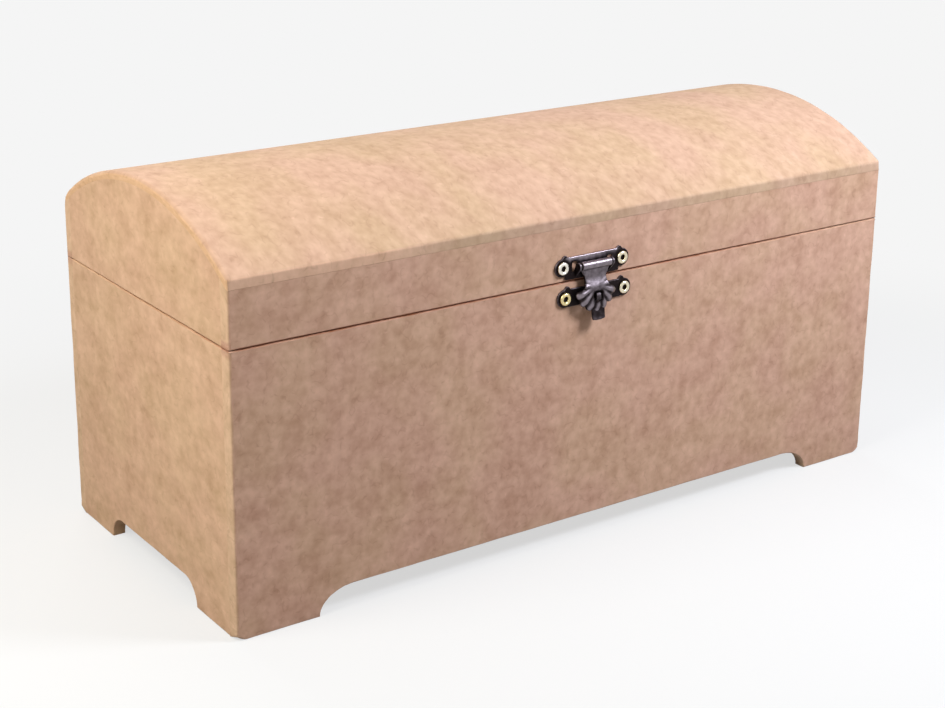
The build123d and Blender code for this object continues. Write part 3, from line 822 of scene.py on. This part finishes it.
def eyeletProfile():
    # from the flared tail inside the box through the bore, over the rolled ring and back down the shank
    size = eyelet
    top = size["plate"] + size["rise"]
    ringCentre = (size["head"] + size["hole"]) / 2
    ringHalf = (size["head"] - size["hole"]) / 2
    turn = np.linspace(pi, 0, 15)
    foot = size["plate"] + 0.12
    ring = asPoints(ringCentre + ringHalf * np.cos(turn),
                    foot + (top - size["plate"] - 0.12) * np.sin(turn)**0.8)
    back = -wall - size["tailHeight"]
    tail = [(size["shank"], size["plate"]), (size["shank"], -wall), (size["tail"], -wall - 0.05),
            (size["tail"] + 0.02, -wall - 0.25), (size["tail"] - 0.25, back), (size["hole"] + 0.3, back),
            (size["hole"], back + 0.35)]
    return np.concatenate([ring, [(size["head"], size["plate"])], tail, ring[:1]])


def placedEyelets(points, marks):
    # each eyelet darkens towards the plate and down its bore: tarnish with painted shade
    profile = eyeletProfile()
    low = smoothStep(profile[:, 1], eyelet["plate"] + 0.65, eyelet["plate"] + 0.1)
    return [turnedPart(profile, (x, frontLow[1], z), 1, mark - (mark + 1) * low, sign=-1)
            for (x, z), mark in zip(points, marks)]


makePiece("hasp_upper_eyelets", ["hasp_upper_rivets"], eyeletStuff, placedEyelets(upperEyelets, (1.0, 0.55)))
makePiece("hasp_catch_eyelets", ["catch_rivets"], eyeletStuff, placedEyelets(catchEyelets, (0.1, 0.6)))


def nailParts(x, z, mark):
    # a short nail: a low domed head, turned, on a square shank drawn in to a point
    dome = arc((0, nail["plate"] + 0.1), (nail["head"], nail["rise"] - 0.1), np.linspace(0, pi / 2, 7))
    head = np.concatenate([[(0, nail["plate"]), (nail["head"], nail["plate"])], dome])
    corner = nail["shank"] / np.sqrt(2)
    deep, top = -nail["depth"], nail["plate"] + 0.1
    shank = np.array([(0, deep), (corner * 0.3, deep), (corner, nail["point"] + deep), (corner, top),
                      (0, top)])
    place = (x, backHigh[1], z)
    return [turnedPart(head, place, 1, mark, 32), turnedPart(shank, place, 1, mark, 4, pi / 4)]


for side in hingeSides:
    for points, where in ((baseNails, "base"), (lidNails, "lid")):
        makePiece(f"hinge_{side}_{where}_tacks", [f"hinge_{side}_{where}_nails"], nailStuff,
                  [part for x, z in points[side] for part in nailParts(x, z, 0.5)])


def pinProfile(radius, length):
    # a wire with slightly rounded ends
    turn = np.linspace(0, pi / 2, 5)
    end = asPoints(radius * np.sin(turn), -length / 2 + radius * 0.4 * (1 - np.cos(turn)))
    return np.concatenate([end, end[::-1] * (1, -1)])


for name, node in (("hasp_wire", "hasp_pin"), ("hinge_left_wire", "hinge_left_pin"),
                   ("hinge_right_wire", "hinge_right_pin")):
    low, high = nodeBox(node)
    profile = pinProfile((high[2] - low[2]) / 2, high[0] - low[0])
    makePiece(name, [node], wireStuff, [turnedPart(profile, (low + high) / 2, 0, 0.4, 32)])
print("fasteners made")

# Hasp

hasp = {
    "thickness": 0.8, "edge": 0.28, "earRadius": 3.4, "lobeRadius": 1.2, "lobeReach": 3.4, "lobeInset": 1.2,
    "halfWidth": 12.4, "above": 3.7, "below": 4.8, "catchHalf": 3.4,
    "windowHalf": 9.4, "windowAbove": 1.8, "windowBelow": 2.1, "windowCorner": 0.5,
    # painted shade: over the barrel the window is lower, so dark plate metal stands where the gap above the barrel
    # shows shade
    "bridgeHalf": 6.9, "bridgeAbove": 0.9,  # over the barrel the window is lower
    "lugGap": 7.3, "lugThickness": 0.8, "lugRadius": 1.5, "lugRoot": 2.0,
    "tongueWidth": 2.0, "tongueHalf": 1.1, "tongueReach": 4.9, "tongueNose": 0.3,
}
flapX, pinY, pinZ = jointAt["hasp_flap_hinge"]
plateX = sum(x for x, z in upperEyelets) / 2
catchX = sum(x for x, z in catchEyelets) / 2
catchZ = catchEyelets[0][1]
earX = (upperEyelets[1][0] - upperEyelets[0][0]) / 2


def earedOutline(centreX, centreZ, above, below):
    # Upper and lower edge of a stamped plate over x: the highest, or lowest, of the bar, the round ears at
    # its ends and, above, the small lobe on each ear.
    reach = earX + hasp["earRadius"]
    x = -reach * np.cos(np.linspace(0, pi, 500))
    lobeX = earX - hasp["lobeInset"]
    ear = np.sqrt(np.maximum(hasp["earRadius"]**2 - (np.abs(x) - earX)**2, 0))
    fromLobe = hasp["lobeRadius"]**2 - (np.abs(x) - lobeX)**2
    lobe = np.where(fromLobe > 0, hasp["lobeReach"] + np.sqrt(np.maximum(fromLobe, 0)), 0)
    top = np.maximum(np.maximum(ear, lobe), np.where(np.abs(x) < hasp["halfWidth"], above, 0))
    bottom = -np.maximum(ear, np.where(np.abs(x) < hasp["halfWidth"], below, 0))
    loop = np.concatenate([asPoints(x, bottom), asPoints(x, top)[::-1][1:-1]])
    return softLoop(evenLoop(loop, 0.2), 5) + (centreX, centreZ)


haspPlace = seenFrom(1, frontLow[1] - hasp["thickness"])  # from the plates' outer face back to the wood
wide, bridge, above, below = (hasp[key] for key in ("windowHalf", "bridgeHalf", "windowAbove", "windowBelow"))
windowShape = [(-wide, above), (-bridge - 0.4, above), (-bridge, hasp["bridgeAbove"]),
               (bridge, hasp["bridgeAbove"]), (bridge + 0.4, above), (wide, above), (wide, -below),
               (-wide, -below)]
windowRadii = [hasp["windowCorner"]] + [0.2] * 4 + [hasp["windowCorner"]] * 3
windowLoop = roundedCorners(np.array(windowShape) + (plateX, pinZ), windowRadii)
plateLoops = [earedOutline(plateX, pinZ, hasp["above"], hasp["below"]), refine(windowLoop, 0.6)]


def lugOutline():
    # the strip cut from the window is bent forward at its root: the hull of that root and the pin's eye
    eye = arc((pinY, pinZ), (hasp["lugRadius"],) * 2, np.linspace(0, 2 * pi, 40, endpoint=False))
    rootTop = pinZ - hasp["windowBelow"]
    root = [(frontLow[1] - y, rootTop - z) for y in (0.05, hasp["thickness"]) for z in (0, hasp["lugRoot"])]
    points = np.concatenate([eye, root])
    hull = points[convex_hull_2d([Vector(p) for p in points.tolist()])]
    area = (hull[:, 0] * np.roll(hull[:, 1], -1) - hull[:, 1] * np.roll(hull[:, 0], -1)).sum()
    return refine(hull if area > 0 else hull[::-1], 0.4)


windowPlate = plateParts(plateLoops, hasp["thickness"], haspPlace, hasp["edge"], 0.05, rimMark=0.5,
                         capMark=0.05)
for lugX in (plateX - hasp["lugGap"] - hasp["lugThickness"], plateX + hasp["lugGap"]):
    windowPlate += plateParts([lugOutline()], hasp["lugThickness"], seenFrom(0, lugX), 0.2, 0.2,
                              rimMark=0.4, capMark=0.05)


def plateCrestLightAndShade(points, mark):
    # painted highlight along the crest of the upper bar, most at its left, and painted shade on the lower bar,
    # rubbed less than elsewhere
    x, y, z = (points - (plateX, frontLow[1], pinZ)).T
    crest = smoothStep(z, 2.5, 3.5) * (1 - 0.55 * smoothStep(x, -4, 9)) * smoothStep(np.abs(x), 12.5, 11)
    lower = 0.45 * smoothStep(z, -2.0, -2.6)
    return np.where(y < -0.3, np.clip(mark * (1 - lower) + crest, 0, 1), mark)


makePiece("hasp_window_plate", ["hasp_upper_plate"], bronzeStuff, windowPlate, markFunction=plateCrestLightAndShade)

tongueY = frontLow[1] - hasp["tongueReach"]
tongueTop, tongueFoot = catchZ + hasp["tongueHalf"], catchZ - hasp["tongueHalf"]
noseFoot = tongueFoot - hasp["tongueNose"]
tongueLoop = roundedCorners(
    [(frontLow[1] - 0.4, tongueTop), (tongueY + 0.4, tongueTop), (tongueY, catchZ + 0.3), (tongueY, noseFoot),
     (tongueY + 0.5, noseFoot), (tongueY + 0.9, tongueFoot), (frontLow[1] - 0.4, tongueFoot)],
    [0, 0.3, 0.3, 0.2, 0.2, 0.3, 0])
catchOutline = earedOutline(catchX, catchZ, hasp["catchHalf"], hasp["catchHalf"])
catchParts = plateParts([catchOutline], hasp["thickness"], haspPlace, hasp["edge"], 0.05, rimMark=0.45,
                        capMark=0.05)
catchParts += plateParts([tongueLoop], hasp["tongueWidth"], seenFrom(0, flapX - hasp["tongueWidth"] / 2),
                         0.2, 0.2, rimMark=0.3, capMark=0.2)
makePiece("hasp_tongue_plate", ["hasp_catch_plate"], bronzeStuff, catchParts)

# The flap: a thin pressing whose outline runs down the waisted neck and round the scalloped fan. Its surface
# is stretched between that outline and the slot; its height over the wood is worked out at every point.
flap = {
    "standoff": 1.7, "thickness": 0.85, "rimRound": 0.30, "rimSpan": 0.35, "waistHalf": 4.9, "waistDrop": 5.2,
    "barrelHalf": 6.7, "barrelRadius": 1.55, "barrelFrom": 3.6, "barrelRoots": (11.2, 13.6),
    "topHalf": 6.4, "shellTop": 1.4, "footHalf": 5.9, "footDrop": 8.6,
    "hubDrop": 7.9, "pitch": 23.0, "lobes": 7, "reachTip": 9.95, "reachCusp": 8.75,
    "slotDrop": 11.8, "slotHalfWidth": 2.1, "slotHalfHeight": 1.9, "slotReach": 1.7,
    "shoulder": 1.2, "fall": 0.07, "ridge": 0.75, "ridgeMean": 0.55, "tipDrop": 1.2, "collar": 0.25,
    "collarWidth": 0.22, "fanSpan": (-3.5, 1.0), "ridgeSpan": (2.5, 7.0), "tipSpan": (7.2, 10.2),
    "tilt": 0.14, "tiltDrop": 5.0,  # the flap leans outwards from the neck down
    "tabWidth": 6.0, "tabHeight": 3.1, "tabFrom": 14.6, "tabDrop": 19.5, "tabBend": 3.6, "tabAngle": 31.0,
    "tabAside": 0.7, "across": 26,
}


def flapOutline():
    # right half from the top of the neck to the lowest lobe, then mirrored; the fan's reach from its hub
    # swings between cusp and tip once for every lobe
    waist, top, foot = (flap[key] for key in ("waistDrop", "shellTop", "footDrop"))
    drop = top + (np.linspace(-1, 1, 41) + 1) / 2 * (foot - top)
    rise = np.where(drop < waist, (waist - drop) / (waist - top), (drop - waist) / (foot - waist))
    wide = np.where(drop < waist, flap["topHalf"], flap["footHalf"])
    neck = asPoints(flap["waistHalf"] + (wide - flap["waistHalf"]) * rise**2, -drop)
    span = (flap["lobes"] - 1) / 2 * flap["pitch"] + flap["pitch"] * 0.42
    angle = np.linspace(span, 0, 260)
    swing = np.abs(np.cos(np.pi * angle / flap["pitch"]))**0.75
    reach = flap["reachCusp"] + (flap["reachTip"] - flap["reachCusp"]) * swing
    reach -= 0.35 * smoothStep(angle, 50, 80)
    fan = asPoints(reach * np.sin(np.radians(angle)), -flap["hubDrop"] - reach * np.cos(np.radians(angle)))
    half = np.concatenate([neck, fan])
    loop = np.concatenate([half, half[::-1] * (-1, 1)])[::-1]
    return softLoop(evenLoop(loop, 0.16), 3)


def slotDistance(x, z):
    # 1 on the rim of the slot, a rectangle with round corners
    across, along = x / flap["slotHalfWidth"], (z + flap["slotDrop"]) / flap["slotHalfHeight"]
    return (np.abs(across)**4 + np.abs(along)**4)**0.25


def ridgeAt(x, down):
    # 1 along the middle of each rib of the fan, 0 in the valleys between them
    return np.abs(np.cos(np.pi * np.degrees(np.arctan2(x, down)) / flap["pitch"]))


def flapHeight(x, z):
    # height of the outer face over the wood: flat neck, a shoulder at the hub from which the fan sinks
    # evenly, round ridges with sharp valleys between them, tips bent back, and a low collar round the slot
    down = -z - flap["hubDrop"]
    reach = np.hypot(x, down)
    inFan = smoothStep(down, *flap["fanSpan"])
    tips = flap["tipDrop"] * smoothStep(reach, *flap["tipSpan"])
    collar = flap["collar"] * np.exp(-((slotDistance(x, z) - 1) / flap["collarWidth"])**2)
    ribs = flap["ridge"] * (ridgeAt(x, down) - flap["ridgeMean"]) * smoothStep(reach, *flap["ridgeSpan"])
    lean = flap["tilt"] * np.maximum(-z - flap["tiltDrop"], 0)
    sheet = flap["standoff"] + flap["thickness"] + lean
    return sheet + inFan * (flap["shoulder"] - flap["fall"] * reach + ribs - tips) + collar


def flapShell():
    outer = flapOutline()
    away = outer + (0, flap["slotDrop"])
    length = np.hypot(*away.T)
    slot = away / slotDistance(away[:, 0], away[:, 1] - flap["slotDrop"])[:, None] - (0, flap["slotDrop"])
    t = np.linspace(0, 1, flap["across"])[:, None, None]
    flat = slot + (outer - slot) * t
    x, z = flat[..., 0], flat[..., 1]
    rim = np.minimum(t[..., 0], 1 - t[..., 0]) * (length - flap["slotReach"])
    ease = flap["rimRound"] * (1 - np.sqrt(np.clip(1 - (1 - np.clip(rim / flap["rimSpan"], 0, 1))**2, 0, 1)))
    # rubbed along the ridges, dark between them, at the rim and round the slot
    down = -z - flap["hubDrop"]
    fan = smoothStep(down, -2.0, 1.5)
    outwards = smoothStep(np.hypot(x, down), 2.0, 6.0)
    ribbed = 0.42 + outwards * (0.5 * smoothStep(ridgeAt(x, down), 0.35, 0.95) - 0.24)
    rub = 0.5 * (1 - fan) + fan * ribbed - 0.3 * (rim < 0.25)
    rub = np.clip(rub * (1 - 0.7 * np.exp(-((slotDistance(x, z) - 1) / 0.35)**2)), 0, 1)
    front = flapHeight(x, z)
    face, back = (np.stack([flapX + x, frontLow[1] - height, pinZ + z], -1)
                  for height in (front - ease, front - flap["thickness"] + ease * 0.6))
    grid = np.concatenate([face, back[::-1], face[:1]])
    mark = np.concatenate([rub, np.full_like(rub, 0.1), rub[:1]])
    grid, mark = (np.concatenate([whole, whole[:, :1]], 1) for whole in (grid, mark))
    rows, across = np.arange(grid.shape[0])[:, None] * 0.4, np.arange(grid.shape[1]) * 0.16
    return gridPart(grid, np.stack(np.broadcast_arrays(rows, across), -1), mark)


def haspPath(points):
    # heights over the wood and drops under the pin, as y and z
    return asPoints(frontLow[1] - points[:, 0], pinZ - points[:, 1])


def barrelPart():
    # the neck's sheet runs up behind the pin, over it and down its front: a line, then most of a circle
    middle = flap["barrelRadius"] - flap["thickness"] / 2
    axisHeight = frontLow[1] - pinY
    turn = np.radians(np.linspace(-20, 250, 40))
    curl = asPoints(axisHeight - middle * np.cos(turn), -middle * np.sin(turn))
    sheet = flap["standoff"] + flap["thickness"] / 2
    t = np.linspace(0, 1, 8)[:, None]
    start, end = np.array([sheet, flap["barrelFrom"]]), curl[0]
    rise = start + (end - start) * t
    rise[:, 0] = start[0] + (end[0] - start[0]) * smoothStep(t[:, 0], 0, 1)
    path = haspPath(np.concatenate([rise[:-1], curl]))
    widths = np.concatenate([np.linspace(*flap["barrelRoots"], 7), np.full(40, 2 * flap["barrelHalf"])])
    mark = np.concatenate([np.full(9, 0.45), np.linspace(0.5, 0.72, 42)])[:, None]
    return ribbonPart(path, widths, flap["thickness"], flapX, 0.3, mark)


def tabPart():
    # straight under the fan, leaning as the flap does, then an arc outwards; its end is rounded
    middle = flap["tabBend"] + flap["thickness"] / 2
    lean = np.arctan(flap["tilt"])
    drop = np.linspace(flap["tabFrom"], flap["tabDrop"], 6)
    straight = asPoints(flap["tabHeight"] + flap["tilt"] * (drop - drop[0]), drop)
    turn = np.linspace(lean, radians(flap["tabAngle"]), 23)[1:]
    curl = straight[-1] + middle * asPoints(np.cos(lean) - np.cos(turn), np.sin(turn) - np.sin(lean))
    path = haspPath(np.concatenate([straight, curl]))
    s = np.linspace(0, 1, len(path))
    endRound = np.sqrt(np.clip(1 - np.clip((s - 0.80) / 0.235, 0, 1)**2, 0.05, 1))
    widths = flap["tabWidth"] * (1 - 0.08 * s) * endRound
    mark = np.concatenate([[0.1, 0.1], 0.1 + 0.2 * s, [0.3, 0.3]])[:, None]
    return ribbonPart(path, widths, flap["thickness"], flapX + flap["tabAside"], 0.3, mark)


makePiece("hasp_fan_flap", ["hasp_flap"], bronzeStuff, [flapShell(), barrelPart(), tabPart()])
print("hasp made")

# Rear hinges

hinge = {"thickness": 0.8, "edge": 0.2, "leafGap": 2.0, "corner": 1.5, "knuckles": 3, "radius": 1.6,
         "gap": 0.3}
hingeY, hingeZ = jointAt["lid_hinge"][1:]


def knucklePart(x, width, up):
    # the leaf's strip leaves the plate, then wraps round the pin and stops short of itself
    middle = hinge["radius"] - hinge["thickness"] / 2
    flat = backHigh[1] + hinge["thickness"] / 2
    turn = np.radians(np.linspace(-10, 285, 40))
    curl = asPoints(hingeY - middle * np.cos(turn), hingeZ - up * middle * np.sin(turn))
    t = np.linspace(0, 1, 6)[:, None]
    start = np.array([flat, hingeZ + up * (hinge["leafGap"] + 0.6)])
    run = start + (curl[0] - start) * t
    path = np.concatenate([run[:-1], curl])
    mark = np.linspace(0.35, 0.8, len(path) + 4)[:, None]
    return ribbonPart(path, np.full(len(path), width), hinge["thickness"], x, 0.2, mark)


for side in hingeSides:
    for where, up, nails in (("base", -1, baseNails[side]), ("lid", 1, lidNails[side])):
        low, high = nodeBox(f"hinge_{side}_{where}_leaf")
        near = hingeZ + up * hinge["leafGap"]
        far = high[2] if up > 0 else low[2]
        corners = [(low[0], near), (high[0], near), (high[0], far), (low[0], far)][::up]
        radii = [0, 0, hinge["corner"], hinge["corner"]][::up]
        holes = [circleLoop(point, nail["bore"], 20) for point in nails]
        loops = [refine(roundedCorners(corners, radii), 1.5), *holes]
        parts = plateParts(loops, hinge["thickness"], seenFrom(1, backHigh[1] + hinge["thickness"], -1),
                           hinge["edge"], 0.05, rimMark=0.85, capMark=0.45)
        length = high[0] - low[0]
        step = length / hinge["knuckles"]
        for number in range(0 if up < 0 else 1, hinge["knuckles"], 2):
            middleX = low[0] + (number + 0.5) * step
            parts.append(knucklePart(middleX, step - hinge["gap"], up))
        makePiece(f"hinge_{side}_{where}_strap", [f"hinge_{side}_{where}_leaf"], bronzeStuff, parts)
print("hinges made")

# Floor, light and camera

studio = {
    "background": "#F5F5F5", "floorSeen": 0.80, "floorBounce": 0.34, "floorSize": 8000,
    "fadeFrom": 190, "fadeTo": 420, "shadowShare": 0.3, "skyStrength": 0.126,
}


def seenDirectly(tree):
    # 1 for what the camera, a reflection or a clear body shows, 0 for what only lights the scene
    path = addNode(tree, "LightPath").outputs
    first = mathNode(tree, "MAXIMUM", path["Is Camera Ray"], path["Is Glossy Ray"])
    return mathNode(tree, "MAXIMUM", first, path["Is Transmission Ray"])


def makeFloor():
    # a pale matt board; away from the box, what is seen of it fades to the plain background
    mesh = bpy.data.meshes.new("studio_floor")
    half = studio["floorSize"] / 2 * mm
    corners = [(-half, -half, 0), (half, -half, 0), (half, half, 0), (-half, half, 0)]
    mesh.from_pydata(corners, [], [(0, 1, 2, 3)])
    material, tree = newMaterial("pale matt board")
    place = addNode(tree, "TexCoord").outputs["Object"]
    far = remap(tree, vectorNode(tree, "LENGTH", place), studio["fadeFrom"] * mm, studio["fadeTo"] * mm,
                kind="SMOOTHSTEP")
    seen = seenDirectly(tree)
    lit, looked = (addNode(tree, "BsdfDiffuse", {"Color": (*[studio[key]] * 3, 1)})
                   for key in ("floorBounce", "floorSeen"))
    shaded = addNode(tree, "MixShader", {0: seen, 1: lit, 2: looked})
    plainShare = remap(tree, far, 0.0, 1.0, low=1 - studio["shadowShare"])
    factor = mathNode(tree, "MULTIPLY", plainShare, seen)
    plain = addNode(tree, "Emission", {"Color": studio["background"]})
    mixed = addNode(tree, "MixShader", {0: factor, 1: shaded, 2: plain})
    addNode(tree, "OutputMaterial", {"Surface": mixed})
    mesh.materials.append(material)
    floor = bpy.data.objects.new("studio_floor", mesh)
    bpy.context.scene.collection.objects.link(floor)


def makeSky():
    world = bpy.data.worlds.new("studio")
    bpy.context.scene.world = world
    world.use_nodes = True
    tree = world.node_tree
    tree.nodes.clear()
    seen = addNode(tree, "Background", {"Color": studio["background"], "Strength": 1.0})
    lights = addNode(tree, "Background", {"Color": "#FFFFFF", "Strength": studio["skyStrength"]})
    mixed = addNode(tree, "MixShader", {0: seenDirectly(tree), 1: lights, 2: seen})
    addNode(tree, "OutputWorld", {"Surface": mixed})


lamps = {
    "overhead": {"at": (-100, 260, 1250), "aim": (0, 0, 80), "size": (1500, 1000), "watts": 2.7,
                 "colour": "#FFFFFF"},
    "leftSide": {"at": (-440, -70, 410), "aim": (-150, 0, 80), "size": (300, 300), "watts": 2.3,
                 "colour": "#FFFBEE"},
    "rightFront": {"at": (210, -300, 392), "aim": (45, -65, 80), "size": (130, 130), "watts": 2.25,
                   "colour": "#F0F5FF"},
    "behind": {"at": (80, 900, 600), "aim": (0, 60, 90), "size": (700, 500), "watts": 4.5,
               "colour": "#FFFFFF"},
}


def makeLamp(name, look):
    data = bpy.data.lights.new(name, "AREA")
    data.shape = "RECTANGLE"
    data.size, data.size_y = (side * mm for side in look["size"])
    data.energy = look["watts"]
    data.color = linear(look["colour"])[:3]
    lamp = bpy.data.objects.new(name, data)
    bpy.context.scene.collection.objects.link(lamp)
    at, aim = Vector(look["at"]) * mm, Vector(look["aim"]) * mm
    lamp.location = at
    lamp.rotation_euler = (aim - at).to_track_quat("-Z", "Y").to_euler()
    lamp.visible_camera = False


# the photograph's camera: found by fitting the box's corners
view = {"azimuth": -35.33, "elevation": 16.64, "roll": 0.62, "distance": 720.7, "aim": (0, 0, 70),
        "right": -6.74, "up": 23.12, "focalPixels": 1796.2, "imageWidth": 945, "sensor": 36.0, "shiftY": -0.1}


def makeCamera():
    # back is the direction from the aim to the camera; right and up complete the turn, tilted by the roll
    azimuth, elevation, roll = (radians(view[key]) for key in ("azimuth", "elevation", "roll"))
    level = np.cos(elevation)
    back = np.array([np.sin(azimuth) * level, -np.cos(azimuth) * level, np.sin(elevation)])
    right = np.array([np.cos(azimuth), np.sin(azimuth), 0])
    up = np.cross(back, right)
    place = np.array(view["aim"]) + back * view["distance"] + right * view["right"] + up * view["up"]
    rolledRight = right * np.cos(roll) + up * np.sin(roll)
    rolledUp = up * np.cos(roll) - right * np.sin(roll)
    data = bpy.data.cameras.new("photo_view")
    data.sensor_width = view["sensor"]
    data.lens = view["focalPixels"] / view["imageWidth"] * view["sensor"]
    data.shift_y = view["shiftY"]
    data.clip_start, data.clip_end = 10 * mm, 20000 * mm
    camera = bpy.data.objects.new("photo_view", data)
    bpy.context.scene.collection.objects.link(camera)
    turn = Matrix((rolledRight, rolledUp, back)).transposed().to_4x4()
    camera.matrix_world = Matrix.Translation(Vector(place * mm)) @ turn
    bpy.context.scene.camera = camera


makeFloor()
makeSky()
for name, look in lamps.items():
    makeLamp(name, look)
makeCamera()
bpy.context.scene.view_settings.view_transform = "Standard"
print("studio made")
